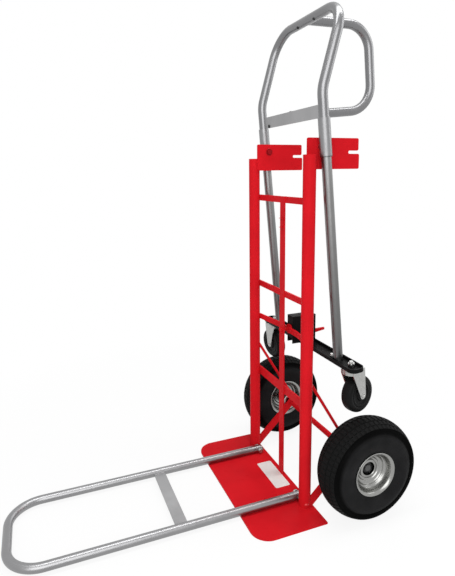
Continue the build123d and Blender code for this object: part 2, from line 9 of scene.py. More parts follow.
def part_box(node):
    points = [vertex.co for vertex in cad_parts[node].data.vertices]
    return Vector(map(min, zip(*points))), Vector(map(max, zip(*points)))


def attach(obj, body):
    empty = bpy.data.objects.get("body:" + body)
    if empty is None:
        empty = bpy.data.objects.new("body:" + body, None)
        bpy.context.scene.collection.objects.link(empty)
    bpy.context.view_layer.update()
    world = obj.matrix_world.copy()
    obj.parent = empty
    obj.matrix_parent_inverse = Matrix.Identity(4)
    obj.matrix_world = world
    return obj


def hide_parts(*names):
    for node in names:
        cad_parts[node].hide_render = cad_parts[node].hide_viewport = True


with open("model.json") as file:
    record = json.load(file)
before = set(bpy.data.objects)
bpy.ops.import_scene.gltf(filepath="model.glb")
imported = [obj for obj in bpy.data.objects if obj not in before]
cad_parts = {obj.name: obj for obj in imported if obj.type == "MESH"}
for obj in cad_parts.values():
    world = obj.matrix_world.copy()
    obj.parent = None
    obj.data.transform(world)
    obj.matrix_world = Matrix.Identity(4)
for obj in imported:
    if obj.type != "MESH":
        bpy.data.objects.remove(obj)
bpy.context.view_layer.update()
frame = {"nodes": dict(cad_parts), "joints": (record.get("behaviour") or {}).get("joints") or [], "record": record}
SIDES = {"right": 1, "left": -1}
MM = 0.001

# Camera: where the photograph was taken from, in metres and degrees, and its picture size
IMAGE_WIDTH = 455
IMAGE_HEIGHT = 576
CAMERA_PLACE = Vector((1.15405, -0.5286, 0.86226))
CAMERA_YAW = 68.683
CAMERA_PITCH = 9.877
CAMERA_ROLL = -0.796
FOCAL_PIXELS = 490.186
CENTRE_PIXEL = (225.638, 259.236)
SENSOR_WIDTH = 36.0

# Main wheels: place in metres, sections in millimetres from the wheel's middle outwards
WHEEL_X = 0.2288
AXLE_Y = 0.2047
AXLE_Z = 0.130
TYRE_RADIUS = 130.0
SHOULDER = (36.0, 120.0)
SIDEWALL = [
    SHOULDER, (35.6, 118.2), (32.0, 117.2), (31.0, 114.5), (32.0, 110.0), (36.0, 105.4),
    (41.0, 101.4), (41.9, 99.6), (42.5, 97.0), (43.8, 93.0), (44.4, 88.5), (44.1, 82.0),
    (43.0, 76.0), (41.4, 70.0), (39.9, 65.5), (39.2, 64.6), (39.0, 63.0), (38.0, 62.0),
    (37.8, 60.0), (36.7, 57.0),
]
BEAD = (33.5, 50.0)
TREAD_PITCHES = 60
TREAD_STEPS = 6
TREAD_DEPTH = 2.2
TREAD_GROOVES = ((10.5, 14.0), (25.0, 27.5))
TREAD_LINES = [-35.2, -27.5, -27.3, -25.2, -25.0, -19.5, -14.0, -13.8, -10.7, -10.5, -5.3]
CENTRE_RIB = 12.0
SHOULDER_RIB = 26.0
NOTCH_STEPS = 2
RIGHT_RIB_SHIFT = 2
LEFT_RIB_SHIFT = 4
SHOULDER_RIB_SHIFT = 1
RIM_FACE = [
    (36.8, 57.0), (39.4, 57.2), (39.4, 54.6), (35.5, 49.5), (32.0, 48.2), (24.0, 46.6),
    (19.0, 44.0), (17.0, 40.6), (13.5, 39.0), (11.4, 36.0), (10.4, 31.8), (8.0, 30.2),
    (7.4, 27.0), (7.0, 24.5),
]
RIM_BACK = [
    (5.0, 24.5), (5.0, 33.0), (9.0, 33.0), (9.0, 42.0), (16.0, 42.0), (16.0, 50.0), BEAD,
]
HUB_SECTION = [
    (-67.0, 22.6), (-65.6, 24.5), (10.2, 24.5), (11.5, 24.1), (12.0, 23.0), (12.0, 18.9),
    (11.0, 17.6), (3.4, 17.2), (2.0, 16.0), (2.0, 8.08), (-67.0, 8.08),
]
WHEEL_TURNS = 96
HUB_TURNS = 64

# Caster wheel, half of its section in millimetres from the bore outwards
CASTER_SECTION = [
    (16.0, 5.08), (16.0, 13.6), (15.4, 15.0), (13.4, 15.4), (12.6, 16.6), (12.4, 23.6),
    (12.8, 25.2), (14.4, 26.0), (15.0, 27.2), (15.0, 30.4), (14.5, 31.4), (13.9, 32.0),
    (14.4, 33.0), (15.0, 34.6), (15.0, 37.0), (14.5, 41.0), (12.6, 44.4), (9.0, 46.2),
    (4.5, 46.9),
]
CASTER_CROWN = (0.0, 47.0)

# Fasteners: (length, diameter, form) of each step in millimetres, from the low end of the axis
KINGPIN = [(4.0, 18.0, "round"), (16.8, 10.0, "round"), (8.0, 18.0, "hex"), (5.0, 10.0, "thread")]
BEAM_BOLT = [(6.0, 11.0, "hex"), (3.0, 8.0, "round"), (6.0, 11.0, "hex"), (5.0, 8.0, "thread")]
CASTER_RIVET = [(1.5, 13.0, "rivet"), (39.0, 10.0, "round"), (1.5, 13.0, "rivet_end")]
LATCH_PIN = [(3.0, 14.0, "dome"), (30.0, 8.0, "round"), (3.0, 14.0, "dome_end")]
PIVOT_BOLT = [(4.4, 16.4, "hex"), (1.6, 19.0, "round"), (3.0, 10.0, "round")]
PIVOT_NUT = (6.0, 14.0, "hex")
EXTENSION_HEAD = [(4.6, 14.0, "hex"), (1.4, 15.0, "round")]
EXTENSION_SHANK = 8.0
EXTENSION_THROUGH = 22.6
EXTENSION_COLLAR = (5.5, 14.0, "round")
EXTENSION_BUTTON = (3.6, 12.0, "dome_end")
STRAP_BOLT = [(3.0, 10.0, "dome"), (4.0, 5.0, "round"), (3.0, 10.0, "hex")]
BAR_RIVET = [(2.4, 7.0, "round"), (2.5, 8.0, "dome_end")]
CHAMFER = 0.45
THREAD_PITCH = 1.25
THREAD_DEPTH = 0.7
ROUND_TURNS = 48
HEX_BEVEL = 0.14
DOME_ROWS = 7
DOME_STEP = 15.0
DOME_FLAT = 0.12
RIVET_PROFILE = [(0.0, 1.0), (0.6, 0.97), (1.0, 0.80), (1.0, 0.52), (0.3, 0.40)]

# Rear frame: its pivot and lean, and places on it in millimetres before it hangs
PIVOT = Vector((0.0, 0.1125, 0.922))
REAR_LEAN = 5.43
STRAP_BOLT_PLACE = (-117.5, 70.2)
BAR_RIVET_PLACE = (39.0, 72.4, 315.2)
BAR_RIVET_ANGLE = 225.0
BAR_RIVET_ROOT = 9.6

# Weld beads, in millimetres
WELD_RADIUS = 1.9
WELD_PITCH = 0.9
WELD_RIPPLE = 3.2
RIPPLE_SHARE = 0.14
WELD_END_SHARE = 0.45
WELD_SIDES = 8
WELD_SHARP = 80.0
STRAP_WELD = 1.4
EXTENSION_WELD = 1.2
AXLE_WELD = 1.6
AXLE_WELD_RING = 8.6
RAIL_WELD_LIFT = 0.6
BRACKET_WELD_END = 1.0
RAIL = (152.3, 73.8)
RAIL_RADIUS = 15.5
RAIL_TOP = 903.5
BARS = [(265.0, 25.0), (539.5, 17.0), (793.5, 17.0)]
BAR_FRONT = 87.3
STRAP_HALF = 12.5
STRAP_FRONT = 84.3
BRACKET_FACE = 137.6
BRACKET_LOW = 870.0
STRUT_FACE = 161.5
STRUT_SHEET = 5.0
STRUT_TOP = 24.0
EXTENSION_STRAP_END = 111.6
EXTENSION_STRAP_EDGES = (-262.7, -231.7)
EXTENSION_STRAP_TOP = 17.8

# Toe plate's blank label and the plate's top face
TOE_TOP = 0.005
LABEL_CENTRE = (-0.002, 0.0605)
LABEL_SIZE = (0.126, 0.044)
LABEL_CORNER = 0.004
LABEL_CORNER_STEPS = 4
LABEL_THICKNESS = 0.0002

# Colours, and how the finishes differ: gloss is the range of roughness
RED = (0.585, 0.0105, 0.0165)
# DARK_RED is the pivot bolts' red paint, darkened as painted shade on their heads.
DARK_RED = (0.26, 0.003, 0.006)
ZINC = (0.42, 0.42, 0.41)
PLAIN = 0.0
METAL = 1.0
RED_GLOSS = (0.26, 0.40)
RED_LOOK = {"tint": 0.06, "specular": 0.015}
TUBE_GRAIN = {"grain_scale": 1200.0, "grain_depth": 0.000003}
FINE_GRAIN = 0.00002

# Where a finish or a painted shade changes, in metres: from and to
HUB_BORE = (0.0170, 0.0178)
RECESS_INNER = (0.098, 0.105)
RECESS_OUTER = (0.1165, 0.1185)
AXLE_PAINT_END = (0.158, 0.162)
BOLT_PAINT_START = (0.1660, 0.1668)
LEG_SHADE = (0.46, 0.86)
SLEEVE_LINE = (-0.024, -0.021)
RING_DENSITY = 5200.0
SPANGLE_SCALE = 180.0

# Studio, in metres and watts: (name, place, target, size, power) of each lamp
MIDDLE = (0.0, 0.05, 0.65)
LAMPS = [
    ("front", (2.15, -1.05, 1.55), MIDDLE, (2.2, 2.2), 41.0),
    ("overhead", (0.15, 0.1, 2.6), (0.15, 0.0, 0.0), (0.55, 2.8), 37.0),
    ("rear", (0.6, 2.2, 1.8), MIDDLE, (1.4, 1.4), 12.0),
    ("side", (-1.6, 1.6, 1.6), MIDDLE, (1.4, 1.4), 8.0),
]
WHITE = (1.0, 1.0, 1.0, 1.0)
SOFT_LIGHT = 0.42
FLOOR_HALF = 30.0
FLOOR_COLOR = (0.86, 0.86, 0.86, 1.0)
FLOOR_ROUGHNESS = 0.9
FLOOR_GLOW = 0.88
FLOOR_FADE = (0.5, 1.3)
VIEW_END = 100.0


def node(tree, kind, **values):
    """Add a shader node, with its sockets or settings given by name."""
    made = tree.nodes.new(kind)
    for key, value in values.items():
        if key in made.inputs:
            made.inputs[key].default_value = value
        else:
            setattr(made, key, value)
    return made


def noise(tree, coords, scale, detail=3.0):
    made = node(tree, "ShaderNodeTexNoise", Scale=scale, Detail=detail)
    tree.links.new(coords, made.inputs["Vector"])
    return made.outputs["Fac"]


def mapped(tree, value, low, high, from_low=0.3, from_high=0.7):
    made = node(tree, "ShaderNodeMapRange")
    for index, number in enumerate((from_low, from_high, low, high), start=1):
        made.inputs[index].default_value = number
    tree.links.new(value, made.inputs[0])
    return made.outputs[0]


def math_node(tree, operation, first, second=0.0):
    made = node(tree, "ShaderNodeMath", operation=operation)
    for socket, value in zip(made.inputs, (first, second)):
        if isinstance(value, (int, float)):
            socket.default_value = value
        else:
            tree.links.new(value, socket)
    return made.outputs[0]


def mixed(tree, factor, first, second):
    made = node(tree, "ShaderNodeMix", data_type="RGBA")
    tree.links.new(factor, made.inputs[0])
    for socket, value in zip((made.inputs[6], made.inputs[7]), (first, second)):
        if isinstance(value, tuple):
            socket.default_value = (*value, 1.0)
        else:
            tree.links.new(value, socket)
    return made.outputs[2]


def shade(color, share):
    return tuple(channel * share for channel in color)


def object_coords(tree):
    return node(tree, "ShaderNodeTexCoord").outputs["Object"]


def finish(name, color, metallic, roughness, tint=0.12, tint_scale=14.0, grain_scale=900.0,
           grain_depth=0.00005, specular=0.5):
    """A coated or bare metal, or rubber: mottled colour, uneven gloss and a fine grain."""
    material = bpy.data.materials.new(name)
    material.use_nodes = True
    tree = material.node_tree
    bsdf = tree.nodes["Principled BSDF"]
    bsdf.inputs["Metallic"].default_value = metallic
    bsdf.inputs["Specular IOR Level"].default_value = specular
    coords = object_coords(tree)
    blotch = mapped(tree, noise(tree, coords, tint_scale), 0.0, 1.0)
    base = mixed(tree, blotch, shade(color, 1.0 - tint), shade(color, 1.0 + tint))
    gloss = mapped(tree, noise(tree, coords, 4.0 * tint_scale), *roughness)
    bump = node(tree, "ShaderNodeBump", Strength=1.0, Distance=grain_depth)
    tree.links.new(noise(tree, coords, grain_scale, 2.0), bump.inputs["Height"])
    tree.links.new(base, bsdf.inputs["Base Color"])
    tree.links.new(gloss, bsdf.inputs["Roughness"])
    tree.links.new(bump.outputs["Normal"], bsdf.inputs["Normal"])
    return material


def repaint(material, mask, color):
    """Cover a material's colour with another one where the mask is 1."""
    tree = material.node_tree
    socket = tree.nodes["Principled BSDF"].inputs["Base Color"]
    under = socket.links[0].from_socket
    tree.links.new(mixed(tree, mask, under, color), socket)


def place_part(tree, axis):
    """One coordinate of a surface point in the part's frame."""
    parts = node(tree, "ShaderNodeSeparateXYZ")
    tree.links.new(object_coords(tree), parts.inputs[0])
    return parts.outputs[axis]


def zinc_finish(name, color, roughness=(0.24, 0.42), spangle=0.12):
    """Zinc plate with a faint spangle."""
    material = finish(name, color, METAL, roughness, tint=0.08, tint_scale=40.0,
                      grain_depth=FINE_GRAIN)
    tree = material.node_tree
    cells = node(tree, "ShaderNodeTexVoronoi", Scale=SPANGLE_SCALE)
    tree.links.new(object_coords(tree), cells.inputs["Vector"])
    light, dark = shade(color, 1.0 + spangle), shade(color, 1.0 - spangle)
    base = mixed(tree, cells.outputs["Distance"], light, dark)
    tree.links.new(base, tree.nodes["Principled BSDF"].inputs["Base Color"])
    return material


def axle_radius(tree):
    """Distance of a surface point from the main axle's line."""
    dy = math_node(tree, "SUBTRACT", place_part(tree, "Y"), AXLE_Y)
    dz = math_node(tree, "SUBTRACT", place_part(tree, "Z"), AXLE_Z)
    squares = [math_node(tree, "POWER", offset, 2.0) for offset in (dy, dz)]
    return math_node(tree, "SQRT", math_node(tree, "ADD", *squares))


def rim_finish():
    """Zinc with faint turned rings, and painted shade that darkens the inside of the hub's bore."""
    material = zinc_finish("rim_zinc", (0.31, 0.31, 0.30), (0.22, 0.28), 0.05)
    tree = material.node_tree
    radius = axle_radius(tree)
    rings = math_node(tree, "SINE", math_node(tree, "MULTIPLY", radius, RING_DENSITY))
    bump = node(tree, "ShaderNodeBump", Strength=0.3, Distance=0.00003)
    tree.links.new(rings, bump.inputs["Height"])
    tree.links.new(bump.outputs["Normal"], tree.nodes["Principled BSDF"].inputs["Normal"])
    # Painted shade: the inside of the hub's bore is made near black, as the shade in that hollow.
    bore = mapped(tree, radius, 1.0, 0.0, *HUB_BORE)
    repaint(material, bore, (0.012, 0.012, 0.012))
    return material


def tyre_finish():
    """Rubber, with painted shade: a darker tread, and black in the recess below the tread."""
    material = finish("tyre_rubber", (0.013, 0.013, 0.0135), PLAIN, (0.46, 0.62), tint=0.2,
                      tint_scale=30.0, grain_scale=800.0, specular=0.03)
    tree = material.node_tree
    radius = axle_radius(tree)
    inner = mapped(tree, radius, 0.0, 1.0, *RECESS_INNER)
    outer = mapped(tree, radius, 1.0, 0.0, *RECESS_OUTER)
    # Painted shade: the tread is made darker than the sidewall.
    repaint(material, math_node(tree, "SUBTRACT", 1.0, outer), (0.008, 0.008, 0.008))
    # Painted shade: the recess below the tread is made near black, as the shadow under the shoulder.
    repaint(material, math_node(tree, "MULTIPLY", inner, outer), (0.0015, 0.0015, 0.0015))
    return material


def axle_finish():
    """Red paint along the axle, bare dark steel at its ends."""
    material = finish("axle_paint", RED, PLAIN, RED_GLOSS, **RED_LOOK)
    tree = material.node_tree
    out = math_node(tree, "ABSOLUTE", place_part(tree, "X"))
    end = mapped(tree, out, 0.0, 1.0, *AXLE_PAINT_END)
    repaint(material, end, (0.10, 0.10, 0.10))
    return material


def leg_finish():
    """Dull grey tube, with painted shade that darkens it toward the foot."""
    material = finish("grey_tube", (0.24, 0.24, 0.24), METAL, (0.34, 0.42), tint=0.06, **TUBE_GRAIN)
    tree = material.node_tree
    # Painted shade: the tube is darkened toward its foot.
    foot = mapped(tree, place_part(tree, "Z"), 1.0, 0.0, *LEG_SHADE)
    repaint(material, foot, (0.15, 0.15, 0.15))
    return material


def sleeve_finish():
    """Bright sleeve with a dark line at its lower end."""
    material = finish("sleeve_metal", (0.25, 0.25, 0.255), METAL, (0.36, 0.44), tint=0.05,
                      **TUBE_GRAIN)
    tree = material.node_tree
    lean = math.radians(REAR_LEAN)
    back = math_node(tree, "SUBTRACT", place_part(tree, "Y"), PIVOT.y)
    above = math_node(tree, "SUBTRACT", place_part(tree, "Z"), PIVOT.z)
    level = math_node(tree, "SUBTRACT", math_node(tree, "MULTIPLY", above, math.cos(lean)),
                      math_node(tree, "MULTIPLY", back, math.sin(lean)))
    rim = mapped(tree, level, 1.0, 0.0, *SLEEVE_LINE)
    repaint(material, rim, (0.03, 0.03, 0.03))
    return material


def extension_bolt_finish():
    """Zinc, with the outer end under the rail's paint."""
    material = zinc_finish("bolt_zinc", ZINC)
    tree = material.node_tree
    out = math_node(tree, "ABSOLUTE", place_part(tree, "X"))
    end = mapped(tree, out, 0.0, 1.0, *BOLT_PAINT_START)
    repaint(material, end, RED)
    metal = math_node(tree, "SUBTRACT", 1.0, end)
    tree.links.new(metal, tree.nodes["Principled BSDF"].inputs["Metallic"])
    return material


red_paint = finish("red_paint", RED, PLAIN, RED_GLOSS, grain_scale=700.0, grain_depth=FINE_GRAIN,
                   **RED_LOOK)
# Red paint of the pivot bolts, made darker as painted shade on their heads.
bolt_paint_and_shade = finish("bolt_paint_and_shade", DARK_RED, PLAIN, (0.18, 0.26), tint=0.06, grain_depth=FINE_GRAIN,
                    specular=0.12)
silver_tube = finish("silver_tube", (0.21, 0.21, 0.215), METAL, (0.27, 0.33), tint=0.05,
                     **TUBE_GRAIN)
extension_tube = finish("extension_tube", (0.28, 0.28, 0.285), METAL, (0.30, 0.36), tint=0.05,
                        **TUBE_GRAIN)
strap_metal = finish("strap_metal", (0.34, 0.34, 0.345), METAL, (0.46, 0.54), tint=0.09,
                     **TUBE_GRAIN)
grey_tube = leg_finish()
sleeve_metal = sleeve_finish()
black_paint = finish("black_paint", (0.005, 0.0048, 0.005), PLAIN, (0.42, 0.60), grain_scale=650.0,
                     grain_depth=0.0001, specular=0.05)
tyre_rubber = tyre_finish()
caster_rubber = finish("caster_rubber", (0.007, 0.007, 0.007), PLAIN, (0.34, 0.48), tint=0.2,
                       specular=0.06)
zinc = zinc_finish("zinc", ZINC)
bolt_zinc = extension_bolt_finish()
rim_zinc = rim_finish()
dark_steel = finish("dark_steel", (0.03, 0.03, 0.03), 0.8, (0.35, 0.5))
axle_paint = axle_finish()
label_film = finish("label_film", (0.72, 0.70, 0.68), PLAIN, (0.40, 0.55), tint=0.05,
                    grain_depth=FINE_GRAIN)

SLOT_FINISHES = {
    "red_paint": red_paint,
    "silver_tube": silver_tube,
    "grey_tube": grey_tube,
    "black_paint": black_paint,
    "tyre": tyre_rubber,
    "caster_rubber": caster_rubber,
    "zinc": zinc,
}
NODE_FINISHES = {
    "axle": axle_paint,
    "right_axle_clip": dark_steel,
    "left_axle_clip": dark_steel,
    "handle_strap": strap_metal,
    "right_sleeve": sleeve_metal,
    "left_sleeve": sleeve_metal,
    "extension_hoop": extension_tube,
    "extension_strap": strap_metal,
}


def dress_nodes():
    """Give every solid of the frame the finish of its material slot, or its own."""
    for part in frame["record"]["subparts"]:
        name = part["node"]
        mesh = frame["nodes"][name].data
        mesh.materials.clear()
        mesh.materials.append(NODE_FINISHES.get(name, SLOT_FINISHES[part["material_slot"]]))


def add_mesh(name, points, faces, material, body, slot, sharp=35.0):
    """Make a closed mesh piece that rides on a body."""
    mesh = bpy.data.meshes.new(name)
    mesh.from_pydata(points, [], faces)
    shell = bmesh.new()
    shell.from_mesh(mesh)
    bmesh.ops.recalc_face_normals(shell, faces=shell.faces)
    shell.to_mesh(mesh)
    shell.free()
    mesh.polygons.foreach_set("use_smooth", [True] * len(mesh.polygons))
    mesh.set_sharp_from_angle(angle=math.radians(sharp))
    mesh.materials.append(material)
    piece = bpy.data.objects.new(name, mesh)
    bpy.context.scene.collection.objects.link(piece)
    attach(piece, body)
    return piece


def rounded(points, passes=2):
    """A smoother line: each pass cuts the corners of the last one."""
    for _ in range(passes):
        cut = [points[0]]
        for (x0, r0), (x1, r1) in zip(points, points[1:]):
            cut.append((0.75 * x0 + 0.25 * x1, 0.75 * r0 + 0.25 * r1))
            cut.append((0.25 * x0 + 0.75 * x1, 0.25 * r0 + 0.75 * r1))
        points = cut + [points[-1]]
    return points


def lathe(rows, turns, loop=False):
    """Points and faces turned about X, from rows of (along, radius, half width across flats)."""
    points = []
    for along, radius, flat in rows:
        for step in range(turns):
            angle = 2 * math.pi * step / turns
            size = radius
            if flat:
                size = min(radius, flat / math.cos(angle % (math.pi / 3) - math.pi / 6))
            points.append(Vector((along, size * math.cos(angle), size * math.sin(angle))) * MM)
    count = len(rows)
    faces = []
    for row in range(count if loop else count - 1):
        low, high = row * turns, (row + 1) % count * turns
        for step in range(turns):
            after = (step + 1) % turns
            faces.append((low + step, low + after, high + after, high + step))
    if not loop:
        faces.append(tuple(reversed(range(turns))))
        faces.append(tuple(range((count - 1) * turns, count * turns)))
    return points, faces


def step_rows(start, length, diameter, form):
    """Rows of one step of a fastener."""
    end = start + length
    radius = diameter / 2
    if form == "hex":
        flat = radius * math.cos(math.pi / 6)
        edge = HEX_BEVEL * radius
        face = (1.0 - HEX_BEVEL) * radius
        return [(start, face, flat), (start + edge, radius, flat),
                (end - edge, radius, flat), (end, face, flat)]
    if form == "thread":
        rows = []
        for index in range(int(length / THREAD_PITCH)):
            root = start + index * THREAD_PITCH
            rows += [(root, radius - THREAD_DEPTH, None), (root + THREAD_PITCH / 2, radius, None)]
        return rows + [(end, radius - THREAD_DEPTH, None)]
    if form.startswith("dome"):
        rows = []
        for index in range(DOME_ROWS):
            angle = math.radians(DOME_STEP * index)
            size = radius * max(math.cos(angle), DOME_FLAT)
            rows.append((start + length * math.sin(angle), size, None))
    elif form.startswith("rivet"):
        rows = [(start + along * length, share * radius, None) for along, share in RIVET_PROFILE]
    else:
        return [(start, radius - CHAMFER, None), (start + CHAMFER, radius, None),
                (end - CHAMFER, radius, None), (end, radius - CHAMFER, None)]
    if form.endswith("_end"):
        return rows
    return [(start + end - along, size, flat) for along, size, flat in reversed(rows)]


def turned(steps):
    """Points and faces of a fastener made of steps along X from the origin."""
    rows = []
    start = 0.0
    for length, diameter, form in steps:
        rows += step_rows(start, length, diameter, form)
        start += length
    return lathe(rows, ROUND_TURNS)


def set_along(points, place, axis):
    """Move points drawn along X to an axis that starts at a place."""
    turn = Vector((1.0, 0.0, 0.0)).rotation_difference(Vector(axis)).to_matrix()
    return [turn @ point + place for point in points]


def low_end(name, axis):
    """Where the axis of a turned solid starts."""
    axis = Vector(axis).normalized()
    spots = [vertex.co for vertex in frame["nodes"][name].data.vertices]
    first = axis.orthogonal().normalized()
    place = Vector()
    for across in (first, axis.cross(first)):
        reach = [spot.dot(across) for spot in spots]
        place += across * (min(reach) + max(reach)) / 2
    return place + axis * min(spot.dot(axis) for spot in spots)


def add_turned(name, steps, axis, material, body, slot):
    """Replace a turned solid with a detailed one on the same axis."""
    points, faces = turned(steps)
    moved = set_along(points, low_end(name, axis), axis)
    piece = add_mesh(f"{name}_detail", moved, faces, material, body, slot)
    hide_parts(name)


def hung(x, y, z):
    """A place on the rear frame, given in millimetres before it hangs."""
    return PIVOT + Matrix.Rotation(math.radians(REAR_LEAN), 3, "X") @ Vector((x, y, z)) * MM


def hung_axis(angle):
    """Direction in the rear frame's side plane, by its angle from the back in degrees."""
    turn = math.radians(angle + REAR_LEAN)
    return Vector((0.0, math.cos(turn), math.sin(turn)))


def merged(parts):
    """One list of points and faces from several."""
    points, faces = [], []
    for part_points, part_faces in parts:
        base = len(points)
        points += part_points
        faces += [tuple(base + index for index in face) for face in part_faces]
    return points, faces


def joint_named(name):
    return next(joint for joint in frame["joints"] if joint["name"] == name)


def node_length(name):
    """Length of a solid along X, in millimetres."""
    low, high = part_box(name)
    return (high[0] - low[0]) / MM


def add_fasteners():
    """Bolts, nuts, pins and rivets in place of the plain discs."""
    for side, sign in SIDES.items():
        out = Vector((sign, 0.0, 0.0))
        pivot = f"{side}_pivot_bolt"
        shank = node_length(pivot) - sum(step[0] for step in PIVOT_BOLT) - PIVOT_NUT[0]
        steps = PIVOT_BOLT + [(shank, PIVOT_BOLT[-1][1], "round"), PIVOT_NUT]
        add_turned(pivot, steps, out, bolt_paint_and_shade, "frame", "red_paint")
        extension = f"{side}_extension_bolt"
        used = sum(step[0] for step in EXTENSION_HEAD) + EXTENSION_COLLAR[0] + EXTENSION_BUTTON[0]
        inside = node_length(extension) - used - EXTENSION_THROUGH
        steps = EXTENSION_HEAD + [(EXTENSION_THROUGH, EXTENSION_SHANK, "round"), EXTENSION_COLLAR]
        steps += [(inside, EXTENSION_SHANK, "round"), EXTENSION_BUTTON]
        add_turned(extension, steps, out, bolt_zinc, "frame", "zinc")
        up = joint_named(f"{side}_caster_swivel")["axis"]
        add_turned(f"{side}_kingpin", KINGPIN, up, zinc, "rear_frame", "zinc")
        add_turned(f"{side}_beam_bolt", BEAM_BOLT, up, zinc, "rear_frame", "zinc")
        spin = joint_named(f"{side}_caster_spin")["axis"]
        add_turned(f"{side}_caster_axle", CASTER_RIVET, spin, zinc, f"{side}_swivel", "zinc")
    add_turned("latch_pin", LATCH_PIN, Vector((1.0, 0.0, 0.0)), zinc, "rear_frame", "zinc")
    points, faces = turned(STRAP_BOLT)
    x, level = STRAP_BOLT_PLACE
    middle = sum(step[0] for step in STRAP_BOLT) / 2
    parts = [(set_along(points, hung(x, -middle, level), hung_axis(0.0)), faces)]
    for sign in SIDES.values():
        points, faces = turned(BAR_RIVET)
        down = hung_axis(BAR_RIVET_ANGLE)
        x, y, z = BAR_RIVET_PLACE
        root = hung(sign * x, y, z) + down * BAR_RIVET_ROOT * MM
        parts.append((set_along(points, root, down), faces))
    points, faces = merged(parts)
    piece = add_mesh("handle_fasteners_detail", points, faces, dark_steel, "rear_frame",
                     "black_paint")
    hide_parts("handle_fasteners")


def tread_cut(x, step):
    """How deep the tread is cut at an axial place and angular step."""
    reach = abs(x)
    if any(low < reach < high for low, high in TREAD_GROOVES):
        return TREAD_DEPTH
    shift = 0
    if reach >= CENTRE_RIB:
        shift = RIGHT_RIB_SHIFT if x > 0 else LEFT_RIB_SHIFT
    if reach > SHOULDER_RIB:
        shift += SHOULDER_RIB_SHIFT
    return TREAD_DEPTH if (step + shift) % TREAD_STEPS < NOTCH_STEPS else 0.0


def add_tyre(side, sign):
    """A tyre with a cut tread and a recess below its shoulder."""
    crown_x = TREAD_LINES + [0.0] + [-x for x in reversed(TREAD_LINES)]
    wall = rounded(SIDEWALL) + [BEAD]
    crown_rise = TYRE_RADIUS - SHOULDER[1]
    crown_radius = (SHOULDER[0] ** 2 + crown_rise ** 2) / (2 * crown_rise)
    turns = TREAD_PITCHES * TREAD_STEPS
    width = 2 * len(wall) + len(crown_x)
    points = []
    for step in range(turns):
        angle = 2 * math.pi * step / turns
        row = [(-x, r) for x, r in reversed(wall)]
        for x in crown_x:
            r = TYRE_RADIUS - crown_radius + math.sqrt(crown_radius ** 2 - x * x)
            row.append((x, r - tread_cut(x, step)))
        for x, r in row + wall:
            points.append(Vector((sign * x, r * math.cos(angle), r * math.sin(angle))) * MM)
    faces = []
    for step in range(turns):
        here, there = step * width, (step + 1) % turns * width
        for index in range(width):
            after = (index + 1) % width
            faces.append((here + index, here + after, there + after, there + index))
    place_wheel_piece(f"{side}_tyre", points, faces, side, sign, tyre_rubber, "tyre")


def place_wheel_piece(node_name, points, faces, side, sign, material, slot):
    """Put a piece drawn about the wheel's middle in place of its node."""
    centre = Vector((sign * WHEEL_X, AXLE_Y, AXLE_Z))
    moved = [point + centre for point in points]
    piece = add_mesh(f"{node_name}_detail", moved, faces, material, f"{side}_main_wheel", slot)
    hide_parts(node_name)


def add_wheel_metal(side, sign):
    """Both rim halves and the hub."""
    rim = rounded(RIM_FACE) + RIM_BACK
    for half, facing in (("outer", sign), ("inner", -sign)):
        points, faces = lathe([(facing * x, r, None) for x, r in rim], WHEEL_TURNS, loop=True)
        place_wheel_piece(f"{side}_{half}_rim", points, faces, side, sign, rim_zinc, "zinc")
    points, faces = lathe([(sign * x, r, None) for x, r in HUB_SECTION], HUB_TURNS, loop=True)
    place_wheel_piece(f"{side}_hub", points, faces, side, sign, rim_zinc, "zinc")


def add_caster_wheel(side):
    half = [CASTER_SECTION[0]] + rounded(CASTER_SECTION[1:])
    rows = half + [CASTER_CROWN] + [(-x, r) for x, r in reversed(half)]
    points, faces = lathe([(x, r, None) for x, r in rows], WHEEL_TURNS, loop=True)
    joint = joint_named(f"{side}_caster_spin")
    moved = set_along(points, Vector(joint["pos_m"]), joint["axis"])
    name = f"{side}_caster_wheel"
    piece = add_mesh(f"{name}_detail", moved, faces, caster_rubber, f"{side}_roller",
                     "caster_rubber")
    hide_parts(name)


def bead(path, radius=WELD_RADIUS, closed=False):
    """Points and faces of a rippled weld bead along a path of points in millimetres."""
    sides = WELD_SIDES
    points, faces = [], []
    count = len(path)
    for index, spot in enumerate(path):
        before = path[index - 1] if closed or index else spot
        after = path[(index + 1) % count] if closed or index < count - 1 else spot
        ahead = (after - before).normalized()
        first = ahead.orthogonal().normalized()
        second = ahead.cross(first)
        wave = math.sin(2 * math.pi * index * WELD_PITCH / WELD_RIPPLE)
        size = radius * (1.0 + RIPPLE_SHARE * wave)
        if not closed and index in (0, count - 1):
            size *= WELD_END_SHARE
        for step in range(sides):
            angle = 2 * math.pi * step / sides
            points.append((spot + size * (first * math.cos(angle) + second * math.sin(angle))) * MM)
    for index in range(count if closed else count - 1):
        here, there = index * sides, (index + 1) % count * sides
        turn = nearest_turn(points, here, there, sides)
        for step in range(sides):
            after = (step + 1) % sides
            faces.append((here + step, here + after,
                          there + (after + turn) % sides, there + (step + turn) % sides))
    if not closed:
        faces.append(tuple(range(sides)))
        faces.append(tuple(range((count - 1) * sides, count * sides)))
    return points, faces


def nearest_turn(points, here, there, sides):
    """How far the next ring of a bead is turned against this one."""
    gaps = [(points[there + turn] - points[here]).length for turn in range(sides)]
    return gaps.index(min(gaps))


def line(start, end):
    """Points along a straight weld."""
    start, end = Vector(start), Vector(end)
    count = max(2, round((end - start).length / WELD_PITCH))
    return [start.lerp(end, index / count) for index in range(count + 1)]


def circle(centre, axis, radius):
    """Points around a round weld."""
    axis = Vector(axis).normalized()
    first = axis.orthogonal().normalized()
    second = axis.cross(first)
    count = round(2 * math.pi * radius / WELD_PITCH)
    turns = [2 * math.pi * index / count for index in range(count)]
    return [Vector(centre) + radius * (first * math.cos(a) + second * math.sin(a)) for a in turns]


def chord(offset):
    """How far from the rail's axis its surface stands, beside a flat at this offset."""
    return math.sqrt(RAIL_RADIUS ** 2 - offset ** 2)


